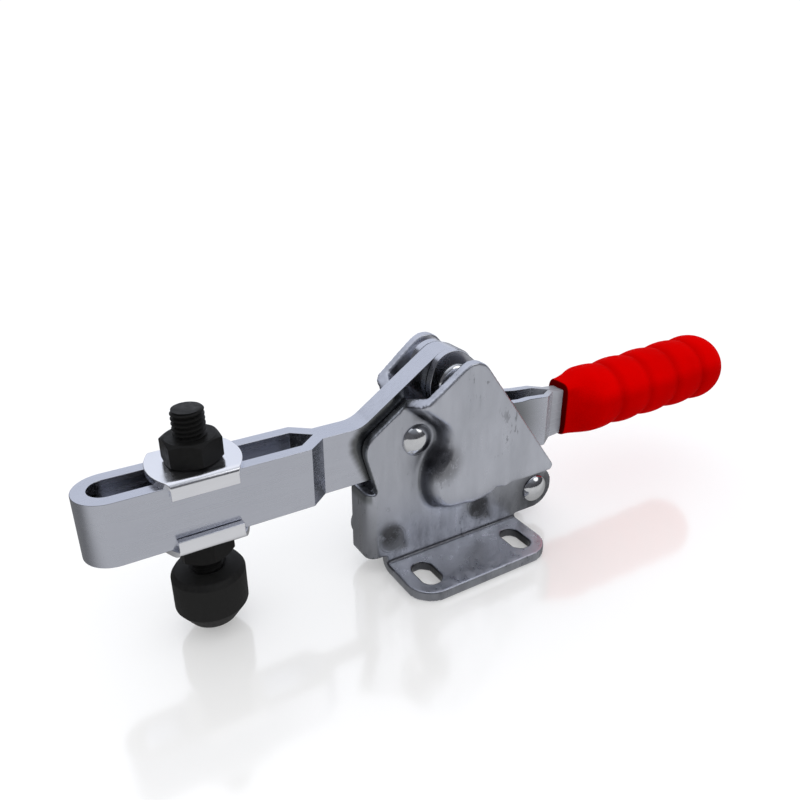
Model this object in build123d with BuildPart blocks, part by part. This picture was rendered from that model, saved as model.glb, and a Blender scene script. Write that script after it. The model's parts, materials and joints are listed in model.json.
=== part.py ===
from build123d import *
import math
import os

# Horizontal toggle clamp, closed. Millimetres.
# X runs along the clamp with the nose at -X, Y across it, Z up.
# The origin is on the underside of the mounting flange, midway between its two slots.

# ---- Driving dimensions ------------------------------------------------------

mid_y = 16.25           # the clamp's middle plane, between its side plates

sheet = 3.0             # base sheet thickness
base_gap = 7.4          # clear width between the two base plates

flange_length = 48.4
flange_reach = 25.7     # outer edge of the flange from the middle plane
flange_corner = 8.0
bend_inner = 0.9        # inner bend radius where the flange meets its plate
slot_pitch = 32.8
slot_width = 6.5
slot_length = 10.8

wall_front = -30.2      # front face of the folded front wall
wall_foot = 5.7
wall_top = 27.6
wall_bend_inner = 0.4
wall_gap = 0.2          # between the wall's end and the far plate's inner face
plate_foot = 4.05       # lower edge of the plates beside the flange

lever_pivot = (-1.0, 55.4)   # lever to arm, closed
arm_pivot = (-14.1, 41.3)    # arm to base
link_pivot = (31.9, 11.2)    # link to base
toggle_pivot = (13.4, 36.2)  # lever to link, closed
arm_turn = 90.0         # how far the arm opens

brow = (-31.15, 43.19)  # corner where the front edge meets the sloping upper edge
brow_radius = 6.0
crown = (1.55, 65.9)
crown_radius = 6.0
guard_tip = (33.8, 21.6)
tip_radius = 1.5
lance_end = 9.5         # the lance that frees the guard starts here
lance_width = 0.2
lance_setback = 4.0     # the plate's corner under the guard's tip
lobe_radius = 7.15      # rear lobe of the base plates
lobe_turn = 50.0

guard_step = 7.0        # how far the guard stands outside its plate
draw_angle = 26.0       # slope of the drawn wall from the draw direction
draw_near_arm = 5.9     # radius of the draw line round the arm pivot
draw_lead = 50.0        # where the draw line leaves that radius
lead_length = 18.0      # length of the straight line from there to the crown
draw_rise = 20.0        # how steeply it rises towards the lance
reach = 90.0            # past every face of the part, for trimming
lap = 1.0               # how far joined blocks run into each other

base_rivet_spots = {"front": (-22.2, 11.0), "rear": (9.2, 12.0)}
base_rivet_radius = 3.7
base_rivet_dip = 0.4    # the near ends lie this far below the plate's face
base_rivet_head_radius = {"front": 6.5, "rear": 4.6}
base_rivet_head_height = 1.8
spacer_radius = 4.5

pin_radius = 3.0
pin_fit = 0.05          # running clearance of a pin in its hole
head_radius = 4.7
head_height = 2.4
head_crown = 2.9        # radius of a head's flat crown

strip = 3.5             # arm strip thickness
seam = 0.1              # gap between the arm's two legs
slot_gap = 0.15         # clearance of the spindle in the arm's slot
arm_top = 47.6
nose_centre = -94.4
fork_end = -46.3        # outer corner where the fork starts to close
fork_close = -41.3      # the legs lie together from here
arm_root_radius = 10.5  # round the arm pivot
arm_end_radius = 8.8
arm_end = (-2.0, 56.8)
arm_slope = 36.0
arm_bend_radius = 9.0

lever_sheet = 2.4
lever_inner = 3.6       # inner face of the lever plates at the pivots
lever_waist = 2.8       # and along the tail
lever_end_radius = 8.5
lever_toggle_radius = 7.5
lever_inset_from = 24.5
lever_inset_to = 28.5
lever_jog_from = 36.0
lever_jog_to = 40.4
lever_tail_top = (21.0, 44.1)
neck_top = (45.6, 41.6)
tail_low_front = (24.5, 26.3)
tail_low_back = (35.5, 25.4)
neck_low = (45.6, 26.4)
tang_end = 98.0
tang_half_height = 5.0
lever_seam = 0.05       # gap between a lever plate and the middle plane at the neck

link_sheet = 2.5
link_seam = 0.02
link_radius = 6.0
bush_radius = 4.6
bush_half = 3.5

grip_start = 45.0
grip_end = 122.3
grip_z = 35.2
grip_bulge = 11.9
grip_valley = 11.0
grip_round_from = 56.0  # the mouth has become round here
grip_first_valley = 65.3
grip_pitch = 13.3
grip_valleys = 4
dome_steps = 3          # cone bands on the domed end
dome_from = 70.0        # angle at which they leave the last wave
grip_mouth_radius = 9.4
grip_mouth_width = 9.4
grip_bore_gap = 0.05

spindle_x = -74.0
spindle_radius = 4.0
spindle_top = 62.4
spindle_chamfer = 0.7
washer_sheet = 1.8
washer_lip_gap = 0.25   # between a lip and the arm
washer_lip_half = 8.1   # half length of a lip
washer_reach = 11.4
washer_lip_depth = 2.8
washer_fold = 1.6
washer_bore = 4.3
nut_flats = 13.0
nut_height = 6.5
nut_chamfer = 0.7
nut_chamfer_height = 0.4
thread_gap = 0.05

foot_bottom = 2.6
foot_radius = 9.5
foot_face_radius = 6.2
foot_chamfer_top = 7.4
foot_shoulder = 16.6
foot_brow_radius = 8.0
foot_top = 18.6
stud_bottom = 7.4

# ---- Derived places ----------------------------------------------------------

plate_inner = base_gap / 2
plate_outer = plate_inner + sheet
guard_outer = plate_outer + guard_step
slope = math.tan(math.radians(draw_angle))
hollow_inset = sheet / math.cos(math.radians(draw_angle)) - sheet * slope

arm_length = math.dist(arm_pivot, lever_pivot)
lever_offset = Vector(*lever_pivot) - Vector(*arm_pivot)
opened = lever_offset.rotate(Axis.Z, -arm_turn)
opened_pivot = (arm_pivot[0] + opened.X, arm_pivot[1] + opened.Y)
opened_angle = math.degrees(math.atan2(opened.Y, opened.X))
draw_round_lever = arm_length - draw_near_arm

lever_outer = lever_inner + lever_sheet
arm_inner_half = spindle_radius + slot_gap
arm_width = 2 * (arm_inner_half + strip)
arm_bottom = arm_pivot[1] - arm_root_radius
leg_half = strip + seam / 2
fork_angle = math.atan2(arm_width / 2 - leg_half, fork_close - fork_end)
fork_shift = strip * math.tan(fork_angle / 2)
slot_end = fork_end - fork_shift
slot_tip = slot_end + (arm_inner_half - seam / 2) / math.tan(fork_angle)
nose_x = nose_centre - arm_width / 2


def side(y):
    """The plane at y from the middle plane, drawn in X and Z and facing -Y."""
    return Plane.XZ.offset(-(mid_y + y))


def polar(centre, radius, angle):
    """The point at this radius and angle from a centre."""
    turn = math.radians(angle)
    return (centre[0] + radius * math.cos(turn), centre[1] + radius * math.sin(turn))


def outside_tangent(first, first_radius, second, second_radius, sign):
    """The angle at which one line touches two circles on the same side."""
    along = math.degrees(math.atan2(second[1] - first[1], second[0] - first[0]))
    lean = math.degrees(math.acos((first_radius - second_radius) / math.dist(first, second)))
    return along + sign * lean


def other_side(solid):
    """The same sheet piece mirrored across the middle plane."""
    with BuildPart() as twin:
        add(solid)
        mirror(about=side(0), mode=Mode.REPLACE)
    return twin.part


def save(solid, name):
    """Label a finished piece and write its file."""
    solid.label = name
    export_step(solid, "parts/" + name + ".step")


os.makedirs("parts", exist_ok=True)

# ---- Base plates with their drawn guards -------------------------------------


def draw_line(inset):
    """The region that is drawn outward: round the arm pivot, then round the opened lever."""
    with BuildSketch(Plane.XY, mode=Mode.PRIVATE) as region:
        with BuildLine():
            lead = polar(arm_pivot, draw_near_arm, draw_lead)
            far_up = polar(lead, lead_length, draw_lead + 90)
            Line(far_up, lead)
            round_arm = CenterArc(arm_pivot, draw_near_arm, draw_lead, opened_angle - draw_lead)
            lever_arc = 90 - opened_angle + draw_rise
            round_lever = CenterArc(opened_pivot, draw_round_lever, opened_angle + 180, lever_arc)
            low = round_lever @ 1
            rise = (lance_end - low.X) * math.tan(math.radians(draw_rise))
            level = low.Y + rise
            Polyline(low, (lance_end, level), (reach, level), (reach, reach), (far_up[0], reach), far_up)
        make_face()
        if inset:
            offset(amount=-inset, kind=Kind.INTERSECTION)
    return region.sketch


with BuildPart() as guard_block:
    with BuildSketch(side(-plate_outer)):
        add(draw_line(0))
    extrude(amount=guard_step, taper=draw_angle)
    with BuildSketch(side(-plate_outer)):
        with BuildLine():
            Polyline(
                brow, crown, guard_tip, (lance_end, guard_tip[1]),
                (lance_end, plate_foot), (brow[0], plate_foot), brow)
        make_face()
        fillet(vertices().group_by(Axis.Y)[-1], radius=crown_radius)
        fillet(vertices().group_by(Axis.X)[-1], radius=tip_radius)
    extrude(amount=guard_step, mode=Mode.INTERSECT)

with BuildPart() as guard_hollow:
    with BuildSketch(side(-plate_inner)):
        add(draw_line(hollow_inset))
    extrude(amount=guard_step, taper=draw_angle)
    with BuildSketch(side(-plate_inner)):
        with BuildLine():
            lance = guard_tip[1] - lance_width
            Polyline(
                (-reach, 0), (lance_end, 0), (lance_end, lance), (reach, lance),
                (reach, reach), (-reach, reach), (-reach, 0))
        make_face()
    extrude(amount=guard_step, mode=Mode.INTERSECT)


def side_plate():
    """The flat plate with its drawn guard and its holes, before any flange or wall."""
    lobe_leave = polar(link_pivot, lobe_radius, lobe_turn)
    lance = guard_tip[1] - lance_width
    lobe_top = lobe_leave[0] - (lance - lobe_leave[1]) / math.tan(math.radians(90 - lobe_turn))
    bend_end = wall_front + sheet + wall_bend_inner
    with BuildPart() as plate:
        with BuildSketch(side(-plate_inner)):
            with BuildLine():
                CenterArc(link_pivot, lobe_radius, -90, 90 + lobe_turn)
                Polyline(
                    lobe_leave, (lobe_top, lance), (guard_tip[0] - lance_setback, lance), guard_tip,
                    crown, brow, (bend_end, wall_top), (bend_end, wall_foot), (-flange_length / 2, wall_foot),
                    (-flange_length / 2, plate_foot), (link_pivot[0], plate_foot))
            make_face()
            fillet(vertices().group_by(Axis.Y)[-1], radius=crown_radius)
            fillet(vertices().group_by(Axis.X)[0], radius=brow_radius)
        extrude(amount=sheet)
        add(guard_block.part)
        add(guard_hollow.part, mode=Mode.SUBTRACT)
        with BuildSketch(side(0)):
            with Locations(arm_pivot, link_pivot):
                Circle(pin_radius + pin_fit)
            with Locations(*base_rivet_spots.values()):
                Circle(base_rivet_radius)
        extrude(amount=guard_outer, mode=Mode.SUBTRACT)
    return plate.part


plain_plate = side_plate()
save(other_side(plain_plate), "base_far_plate")

with BuildPart() as base_near_plate:
    add(plain_plate)
    # Flange, bent out of the lower edge.
    bend_outer = bend_inner + sheet
    with BuildSketch(Plane.YZ.offset(-flange_length / 2)):
        with BuildLine():
            outer_edge = mid_y - flange_reach
            inner_face = mid_y - plate_inner
            outer_face = mid_y - plate_outer
            rise = bend_outer + lap
            Line((outer_edge, 0), (inner_face - bend_outer, 0))
            CenterArc((inner_face - bend_outer, bend_outer), bend_outer, -90, 90)
            Polyline(
                (inner_face, bend_outer), (inner_face, rise), (outer_face, rise), (outer_face, bend_outer))
            CenterArc((outer_face - bend_inner, bend_outer), bend_inner, 0, -90)
            Polyline((outer_face - bend_inner, sheet), (outer_edge, sheet), (outer_edge, 0))
        make_face()
    extrude(amount=flange_length)
    outer_corners = base_near_plate.edges().filter_by(Axis.Z).group_by(Axis.Y)[0]
    fillet(outer_corners, radius=flange_corner)
    with BuildSketch(Plane.XY):
        with GridLocations(slot_pitch, 0, 2, 1):
            SlotOverall(slot_length, slot_width, rotation=90)
    extrude(amount=sheet, mode=Mode.SUBTRACT)
    # Front wall, folded across the front of both plates.
    with BuildSketch(Plane.XY.offset(wall_foot)):
        with BuildLine():
            wall_outer = wall_bend_inner + sheet
            wall_back = wall_front + sheet
            bend_x = wall_front + wall_outer
            bend_y = outer_face + wall_outer
            wall_side = mid_y + plate_inner - wall_gap
            Line((bend_x, outer_face), (bend_x, inner_face))
            CenterArc((bend_x, bend_y), wall_bend_inner, -90, -90)
            Polyline(
                (wall_back, bend_y), (wall_back, wall_side), (wall_front, wall_side), (wall_front, bend_y))
            CenterArc((bend_x, bend_y), wall_outer, 180, 90)
        make_face()
    extrude(amount=wall_top - wall_foot)
save(base_near_plate.part, "base_near_plate")

# ---- Base rivets and spacers -------------------------------------------------

for name, spot in base_rivet_spots.items():
    with BuildPart() as rivet:
        with BuildSketch(side(plate_outer)):
            with Locations(spot):
                Circle(base_rivet_radius)
        extrude(amount=2 * plate_outer - base_rivet_dip)
        with BuildSketch(side(plate_outer + base_rivet_head_height)):
            with Locations(spot):
                Circle(base_rivet_head_radius[name])
        extrude(amount=base_rivet_head_height)
    save(rivet.part, name + "_base_rivet")

    with BuildPart() as spacer:
        with BuildSketch(side(plate_inner)):
            with Locations(spot):
                Circle(spacer_radius)
                Circle(base_rivet_radius, mode=Mode.SUBTRACT)
        extrude(amount=base_gap)
    save(spacer.part, name + "_base_spacer")

# ---- Pivot rivets ------------------------------------------------------------


def domed_rivet(spot, half_grip):
    """A pivot pin with a domed head on both outer faces."""
    with BuildPart() as rivet:
        with BuildSketch(Plane.YZ.offset(spot[0])):
            with BuildLine():
                end = half_grip + head_height
                half = [
                    (0, pin_radius), (half_grip, pin_radius), (half_grip, head_radius),
                    (end, head_crown), (end, 0)]
                upper = [(mid_y + y, spot[1] + r) for y, r in half]
                lower = [(mid_y - y, spot[1] + r) for y, r in reversed(half)]
                Polyline(*lower[:-1], *upper, close=True)
            make_face()
        revolve(axis=Axis((spot[0], mid_y, spot[1]), (0, 1, 0)))
    return rivet.part


save(domed_rivet(arm_pivot, plate_outer), "arm_pivot_rivet")
save(domed_rivet(lever_pivot, lever_outer), "lever_pivot_rivet")
save(domed_rivet(toggle_pivot, lever_outer), "toggle_rivet")

with BuildPart() as link_near_rivet:
    add(domed_rivet(link_pivot, plate_outer))
    with BuildSketch(side(plate_outer + 2 * head_height)):
        with Locations(link_pivot):
            Circle(2 * head_radius)
    extrude(amount=plate_outer + 2 * head_height + plate_inner, mode=Mode.SUBTRACT)
save(link_near_rivet.part, "link_near_rivet")
save(other_side(link_near_rivet.part), "link_far_rivet")

# ---- Clamping arm: one strip bent round the nose -----------------------------

with BuildPart() as clamp_arm:
    with BuildSketch(Plane.XY):
        with BuildLine():
            half = arm_width / 2
            middle = [(slot_end, arm_inner_half), (slot_tip, seam / 2), (reach, seam / 2)]
            hull = [(reach, leg_half), (fork_close, leg_half), (fork_end, half), (nose_centre, half)]
            Polyline((nose_centre, mid_y - arm_inner_half), *[(x, mid_y - y) for x, y in middle])
            Polyline(*[(x, mid_y - y) for x, y in [middle[-1]] + hull])
            CenterArc((nose_centre, mid_y), half, -90, -180)
            Polyline(*[(x, mid_y + y) for x, y in reversed(hull)])
            Polyline(*[(x, mid_y + y) for x, y in [hull[0]] + middle[::-1]])
            Line((slot_end, mid_y + arm_inner_half), (nose_centre, mid_y + arm_inner_half))
            CenterArc((nose_centre, mid_y), arm_inner_half, 90, 180)
        make_face()
    extrude(amount=reach)
    with BuildSketch(side(arm_width)):
        with Locations(arm_end):
            Circle(arm_end_radius)
        with Locations(arm_pivot):
            Circle(arm_root_radius)
        make_hull()
        with BuildLine():
            crown_touch = polar(arm_end, arm_end_radius, 90 + arm_slope)
            climb = (crown_touch[1] - arm_top) / math.tan(math.radians(arm_slope))
            Polyline(
                arm_end, crown_touch, (crown_touch[0] - climb, arm_top), (nose_x, arm_top),
                (nose_x, arm_bottom), (arm_pivot[0], arm_bottom), arm_pivot, arm_end)
        make_face()
        bend = vertices().group_by(Axis.X)[1]
        fillet(bend, radius=arm_bend_radius)
    extrude(amount=2 * arm_width, mode=Mode.INTERSECT)
    with BuildSketch(side(arm_width)):
        with Locations(lever_pivot, arm_pivot):
            Circle(pin_radius + pin_fit)
    extrude(amount=2 * arm_width, mode=Mode.SUBTRACT)
save(clamp_arm.part, "clamp_arm")

# ---- Lever: two plates that meet at the neck and run into the grip -----------

with BuildPart() as lever_near_plate:
    with BuildSketch(Plane.XY):
        with BuildLine():
            inner_path = [
                (-reach, lever_inner), (lever_inset_from, lever_inner), (lever_inset_to, lever_waist),
                (lever_jog_from, lever_waist), (lever_jog_to, lever_seam), (tang_end, lever_seam)]
            inner_line = Polyline(*[(x, mid_y - y) for x, y in inner_path])
            outer_line = Polyline(*[(x, mid_y - y - lever_sheet) for x, y in inner_path])
            Line(inner_line @ 0, outer_line @ 0)
            Line(inner_line @ 1, outer_line @ 1)
        make_face()
    extrude(amount=reach)
    with BuildSketch(side(0)):
        with Locations(lever_pivot):
            Circle(lever_end_radius)
        with Locations(toggle_pivot):
            Circle(lever_toggle_radius)
        make_hull()
        with BuildLine():
            crown_side = outside_tangent(lever_pivot, lever_end_radius, lever_tail_top, 0, 1)
            low_side = outside_tangent(toggle_pivot, lever_toggle_radius, tail_low_front, 0, -1)
            Polyline(
                lever_pivot, polar(lever_pivot, lever_end_radius, crown_side), lever_tail_top, neck_top,
                neck_low, tail_low_back, tail_low_front,
                polar(toggle_pivot, lever_toggle_radius, low_side), toggle_pivot, lever_pivot)
        make_face()
        with Locations(((grip_start + tang_end) / 2, grip_z)):
            Rectangle(tang_end - grip_start, 2 * tang_half_height)
    extrude(amount=lever_outer + lap, mode=Mode.INTERSECT)
    with BuildSketch(side(0)):
        with Locations(lever_pivot, toggle_pivot):
            Circle(pin_radius)
    extrude(amount=lever_outer + lap, mode=Mode.SUBTRACT)
save(lever_near_plate.part, "lever_near_plate")
save(other_side(lever_near_plate.part), "lever_far_plate")

with BuildPart() as grip:
    # Round body with shallow waves and a domed end.
    with BuildSketch(Plane.XZ.offset(-mid_y)):
        with BuildLine():
            last_valley = grip_first_valley + (grip_valleys - 1) * grip_pitch
            body = [(grip_start, 0), (grip_start, grip_mouth_radius)]
            for n in range(grip_valleys):
                x = grip_first_valley + n * grip_pitch
                body.append((x - grip_pitch / 2, grip_bulge))
                body.append((x, grip_valley))
            dome = grip_end - grip_bulge
            body.append((last_valley + grip_pitch / 2, grip_bulge))
            for n in range(1, dome_steps + 1):
                body.append(polar((dome, 0), grip_bulge, dome_from - dome_from * n / dome_steps))
            Polyline(*[(x, grip_z + r) for x, r in body], close=True)
        make_face()
    revolve(axis=Axis((0, mid_y, grip_z), (1, 0, 0)))
    # Mouth, flattened on both sides to close on the neck.
    with BuildSketch(Plane.XY):
        with BuildLine():
            half_mouth = grip_mouth_width / 2
            Polyline(
                (grip_start, mid_y - half_mouth), (grip_round_from, mid_y - grip_bulge),
                (grip_end, mid_y - grip_bulge), (grip_end, mid_y + grip_bulge),
                (grip_round_from, mid_y + grip_bulge), (grip_start, mid_y + half_mouth), close=True)
        make_face()
    extrude(amount=reach, mode=Mode.INTERSECT)
    # Sockets for the tang and the end of the neck.
    socket_width = 2 * (lever_seam + lever_sheet + grip_bore_gap)
    with BuildSketch(Plane.YZ.offset(grip_start)):
        with Locations((mid_y, grip_z)):
            Rectangle(socket_width, 2 * (tang_half_height + grip_bore_gap))
    extrude(amount=tang_end - grip_start + grip_bore_gap, mode=Mode.SUBTRACT)
    with BuildSketch(Plane.YZ.offset(grip_start)):
        with Locations((mid_y, (neck_top[1] + neck_low[1]) / 2)):
            Rectangle(socket_width, neck_top[1] - neck_low[1] + 2 * grip_bore_gap)
    extrude(amount=neck_top[0] - grip_start + grip_bore_gap, mode=Mode.SUBTRACT)
save(grip.part, "grip")

# ---- Toggle link: two plates on a bush at each end ---------------------------

with BuildPart() as link_near_plate:
    with BuildSketch(side(-link_seam)):
        with Locations(toggle_pivot, link_pivot):
            Circle(link_radius)
        make_hull()
        with Locations(toggle_pivot, link_pivot):
            Circle(bush_radius, mode=Mode.SUBTRACT)
    extrude(amount=link_sheet)
save(link_near_plate.part, "link_near_plate")
save(other_side(link_near_plate.part), "link_far_plate")

for name, spot in {"toggle_bush": toggle_pivot, "link_foot_bush": link_pivot}.items():
    with BuildPart() as bush:
        with BuildSketch(side(bush_half)):
            with Locations(spot):
                Circle(bush_radius)
                Circle(pin_radius + pin_fit, mode=Mode.SUBTRACT)
        extrude(amount=2 * bush_half)
    save(bush.part, name)

# ---- Spindle group -----------------------------------------------------------

spindle_place = (spindle_x, mid_y)
washer_half = arm_width / 2 + washer_lip_gap + washer_sheet


def flanged_washer(seat, up):
    """A washer lying on the arm at z = seat, with a lip down each side of the arm."""
    with BuildPart() as washer:
        with BuildSketch(Plane.XY.offset(seat)):
            with BuildLine():
                for s in (1, -1):
                    ThreePointArc(
                        (spindle_x + s * washer_lip_half, mid_y - washer_half),
                        (spindle_x + s * washer_reach, mid_y),
                        (spindle_x + s * washer_lip_half, mid_y + washer_half))
                    Line(
                        (spindle_x - washer_lip_half, mid_y + s * washer_half),
                        (spindle_x + washer_lip_half, mid_y + s * washer_half))
            make_face()
        extrude(amount=up * washer_sheet)
        with BuildSketch(Plane.XY.offset(seat)):
            with Locations(spindle_place):
                with GridLocations(0, 2 * washer_half - washer_sheet, 1, 2):
                    Rectangle(2 * washer_lip_half, washer_sheet)
        extrude(amount=-up * washer_lip_depth)
        folds = washer.edges().filter_by(Axis.X).group_by(Axis.Z)[-1 if up > 0 else 0]
        fillet(folds, radius=washer_fold)
        with BuildSketch(Plane.XY.offset(seat)):
            with Locations(spindle_place):
                Circle(washer_bore)
        extrude(amount=up * washer_sheet, mode=Mode.SUBTRACT)
    return washer.part


def hexagon_nut(base):
    """A chamfered hexagon nut with its lower face at z = base."""
    corner = nut_flats / math.sqrt(3)
    with BuildPart() as nut:
        with BuildSketch(Plane.XY.offset(base)):
            with Locations(spindle_place):
                RegularPolygon(radius=nut_flats / 2, side_count=6, major_radius=False)
        extrude(amount=nut_height)
        with BuildSketch(Plane.XZ.offset(-mid_y)):
            with BuildLine():
                flat = corner - nut_chamfer
                top = base + nut_height
                low = base + nut_chamfer_height
                high = top - nut_chamfer_height
                Polyline(
                    (spindle_x, base), (spindle_x + flat, base), (spindle_x + corner, low),
                    (spindle_x + corner, high), (spindle_x + flat, top), (spindle_x, top), close=True)
            make_face()
        revolve(axis=Axis((spindle_x, mid_y, 0), (0, 0, 1)), mode=Mode.INTERSECT)
        with BuildSketch(Plane.XY.offset(base)):
            with Locations(spindle_place):
                Circle(spindle_radius + thread_gap)
        extrude(amount=nut_height, mode=Mode.SUBTRACT)
    return nut.part


save(flanged_washer(arm_top, 1), "upper_washer")
save(flanged_washer(arm_bottom, -1), "lower_washer")
save(hexagon_nut(arm_top + washer_sheet), "upper_nut")
save(hexagon_nut(arm_bottom - washer_sheet - nut_height), "lower_nut")

with BuildPart() as rubber_tip:
    with BuildSketch(Plane.XZ.offset(-mid_y)):
        with BuildLine():
            profile = [
                (0, foot_bottom), (foot_face_radius, foot_bottom), (foot_radius, foot_chamfer_top),
                (foot_radius, foot_shoulder), (foot_brow_radius, foot_top), (0, foot_top)]
            Polyline(*[(spindle_x + r, z) for r, z in profile], close=True)
        make_face()
    revolve(axis=Axis((spindle_x, mid_y, 0), (0, 0, 1)))
    with BuildSketch(Plane.XY.offset(stud_bottom)):
        with Locations(spindle_place):
            Circle(spindle_radius)
    extrude(amount=foot_top, mode=Mode.SUBTRACT)
save(rubber_tip.part, "rubber_tip")

with BuildPart() as spindle:
    with BuildSketch(Plane.XY.offset(stud_bottom)):
        with Locations(spindle_place):
            Circle(spindle_radius)
    extrude(amount=spindle_top - stud_bottom)
    # Lead-in at the top of the thread.
    chamfer(spindle.faces().sort_by(Axis.Z)[-1].edges(), length=spindle_chamfer)
save(spindle.part, "spindle")
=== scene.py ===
import bpy
import bmesh
import json
import math
import numpy as np
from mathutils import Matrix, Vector


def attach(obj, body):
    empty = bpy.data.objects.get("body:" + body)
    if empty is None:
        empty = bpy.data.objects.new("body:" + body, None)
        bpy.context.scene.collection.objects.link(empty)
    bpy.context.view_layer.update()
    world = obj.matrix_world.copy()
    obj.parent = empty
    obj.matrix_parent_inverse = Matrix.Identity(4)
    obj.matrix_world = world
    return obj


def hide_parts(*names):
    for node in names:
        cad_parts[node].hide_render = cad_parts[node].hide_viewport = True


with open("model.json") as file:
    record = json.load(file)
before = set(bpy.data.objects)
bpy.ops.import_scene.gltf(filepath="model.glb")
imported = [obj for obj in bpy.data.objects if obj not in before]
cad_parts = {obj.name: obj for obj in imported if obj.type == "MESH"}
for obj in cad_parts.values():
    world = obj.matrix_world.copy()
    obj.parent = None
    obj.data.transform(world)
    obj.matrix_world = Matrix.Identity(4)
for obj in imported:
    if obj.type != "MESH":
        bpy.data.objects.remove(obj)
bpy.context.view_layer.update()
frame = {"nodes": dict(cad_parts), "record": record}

# Sizes are in millimetres and in the part's own frame, unless a comment says otherwise.
MM = 0.001
MID_Y = 16.25                           # the clamp's middle plane

ARM_PIVOT = (-14.1, 41.3)               # X and Z of the pivots
LEVER_PIVOT = (-1.0, 55.4)
LINK_PIVOT = (31.9, 11.2)
TOGGLE_PIVOT = (13.4, 36.2)
FRONT_BASE_RIVET = (-22.2, 11.0)
REAR_BASE_RIVET = (9.2, 12.0)

SHEET = 3.0                             # thickness of the base plates
PLATE_OUTER = 6.7                       # outer face of a base plate from the middle plane
LEVER_OUTER = 6.0                       # and of a lever plate
FLANGE_SLOT_X = 16.4                    # the flange slots lie at plus and minus this X
SPINDLE_X = -74.0
UPPER_NUT_BASE = 49.4
LOWER_NUT_BASE = 22.5

GRIP_MOUTH = 45.0                       # X of the grip's two ends
GRIP_END = 122.3
GRIP_VALLEYS = [65.3 + 13.3 * n for n in range(4)]

# ---- Camera ------------------------------------------------------------------

CAMERA_PLACE = Vector((-0.1079, -0.1352, 0.1300))       # metres
CAMERA_PITCH = math.radians(23.93)      # below the horizon
CAMERA_HEADING = math.radians(58.64)    # from +X towards +Y
CAMERA_ANGLE = math.radians(60.0)


def add_camera():
    level = math.cos(CAMERA_PITCH)
    forward = Vector((
        math.cos(CAMERA_HEADING) * level, math.sin(CAMERA_HEADING) * level, -math.sin(CAMERA_PITCH)))
    data = bpy.data.cameras.new("camera")
    data.angle = CAMERA_ANGLE
    data.clip_start = 0.005
    data.clip_end = 20.0
    camera = bpy.data.objects.new("camera", data)
    camera.location = CAMERA_PLACE
    camera.rotation_euler = forward.to_track_quat("-Z", "Y").to_euler()
    bpy.context.scene.collection.objects.link(camera)
    bpy.context.scene.camera = camera


add_camera()

# ---- Material helpers, in metres like the texture coordinates ----------------


def new_material(name):
    material = bpy.data.materials.new(name)
    material.use_nodes = True
    tree = material.node_tree
    return material, tree, tree.nodes["Principled BSDF"]


def noise(tree, scale, detail, roughness=0.55, stretch=(1.0, 1.0, 1.0)):
    """A noise texture in the object's own space, stretched along its axes."""
    place = tree.nodes.new("ShaderNodeTexCoord")
    mapping = tree.nodes.new("ShaderNodeMapping")
    mapping.inputs["Scale"].default_value = stretch
    texture = tree.nodes.new("ShaderNodeTexNoise")
    texture.inputs["Scale"].default_value = scale
    texture.inputs["Detail"].default_value = detail
    texture.inputs["Roughness"].default_value = roughness
    tree.links.new(place.outputs["Object"], mapping.inputs["Vector"])
    tree.links.new(mapping.outputs["Vector"], texture.inputs["Vector"])
    return texture.outputs["Fac"]


def ramp(tree, source, stops):
    """Colours along a texture's value."""
    node = tree.nodes.new("ShaderNodeValToRGB")
    points = node.color_ramp.elements
    while len(points) < len(stops):
        points.new(0.5)
    for point, (at, colour) in zip(points, stops):
        point.position = at
        point.color = (*colour, 1.0)
    tree.links.new(source, node.inputs["Fac"])
    return node.outputs["Color"]


def span(tree, source, low, high, to_low, to_high):
    """A value mapped smoothly from one range to another."""
    node = tree.nodes.new("ShaderNodeMapRange")
    node.interpolation_type = "SMOOTHSTEP"
    node.inputs["From Min"].default_value = low
    node.inputs["From Max"].default_value = high
    node.inputs["To Min"].default_value = to_low
    node.inputs["To Max"].default_value = to_high
    tree.links.new(source, node.inputs["Value"])
    return node.outputs["Result"]


def maths(tree, operation, first, second=0.0):
    node = tree.nodes.new("ShaderNodeMath")
    node.operation = operation
    for socket, value in zip(node.inputs, (first, second)):
        if isinstance(value, (int, float)):
            socket.default_value = value
        else:
            tree.links.new(value, socket)
    return node.outputs["Value"]


def product(tree, first, *others):
    for other in others:
        first = maths(tree, "MULTIPLY", first, other)
    return first


def mixed(tree, first, mask, second, blend="MIX"):
    """The first colour, blended with the second where the mask is 1."""
    node = tree.nodes.new("ShaderNodeMix")
    node.data_type = "RGBA"
    node.blend_type = blend
    tree.links.new(mask, node.inputs["Factor"])
    tree.links.new(first, node.inputs["A"])
    if isinstance(second, tuple):
        node.inputs["B"].default_value = (*second, 1.0)
    else:
        tree.links.new(second, node.inputs["B"])
    return node.outputs["Result"]


def darken(tree, colour, mask, dark):
    """The colour multiplied by a dark tone where the mask is 1."""
    return mixed(tree, colour, mask, dark, "MULTIPLY")


def parts_of(tree, output):
    """X, Y and Z of the place on the part, or of the way its surface faces."""
    place = tree.nodes.new("ShaderNodeTexCoord")
    split = tree.nodes.new("ShaderNodeSeparateXYZ")
    tree.links.new(place.outputs[output], split.inputs["Vector"])
    return split.outputs


def distance_from(tree, output, spot):
    """How far this texture coordinate lies from a spot."""
    place = tree.nodes.new("ShaderNodeTexCoord")
    away = tree.nodes.new("ShaderNodeVectorMath")
    away.operation = "DISTANCE"
    away.inputs[1].default_value = spot
    tree.links.new(place.outputs[output], away.inputs[0])
    return away.outputs["Value"]


def near_spot(tree, spot, radius):
    """1 at a place on the part, fading to 0 at the radius (both in millimetres)."""
    away = distance_from(tree, "Object", [c * MM for c in spot])
    return span(tree, away, 0.35 * radius * MM, radius * MM, 1.0, 0.0)


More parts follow.
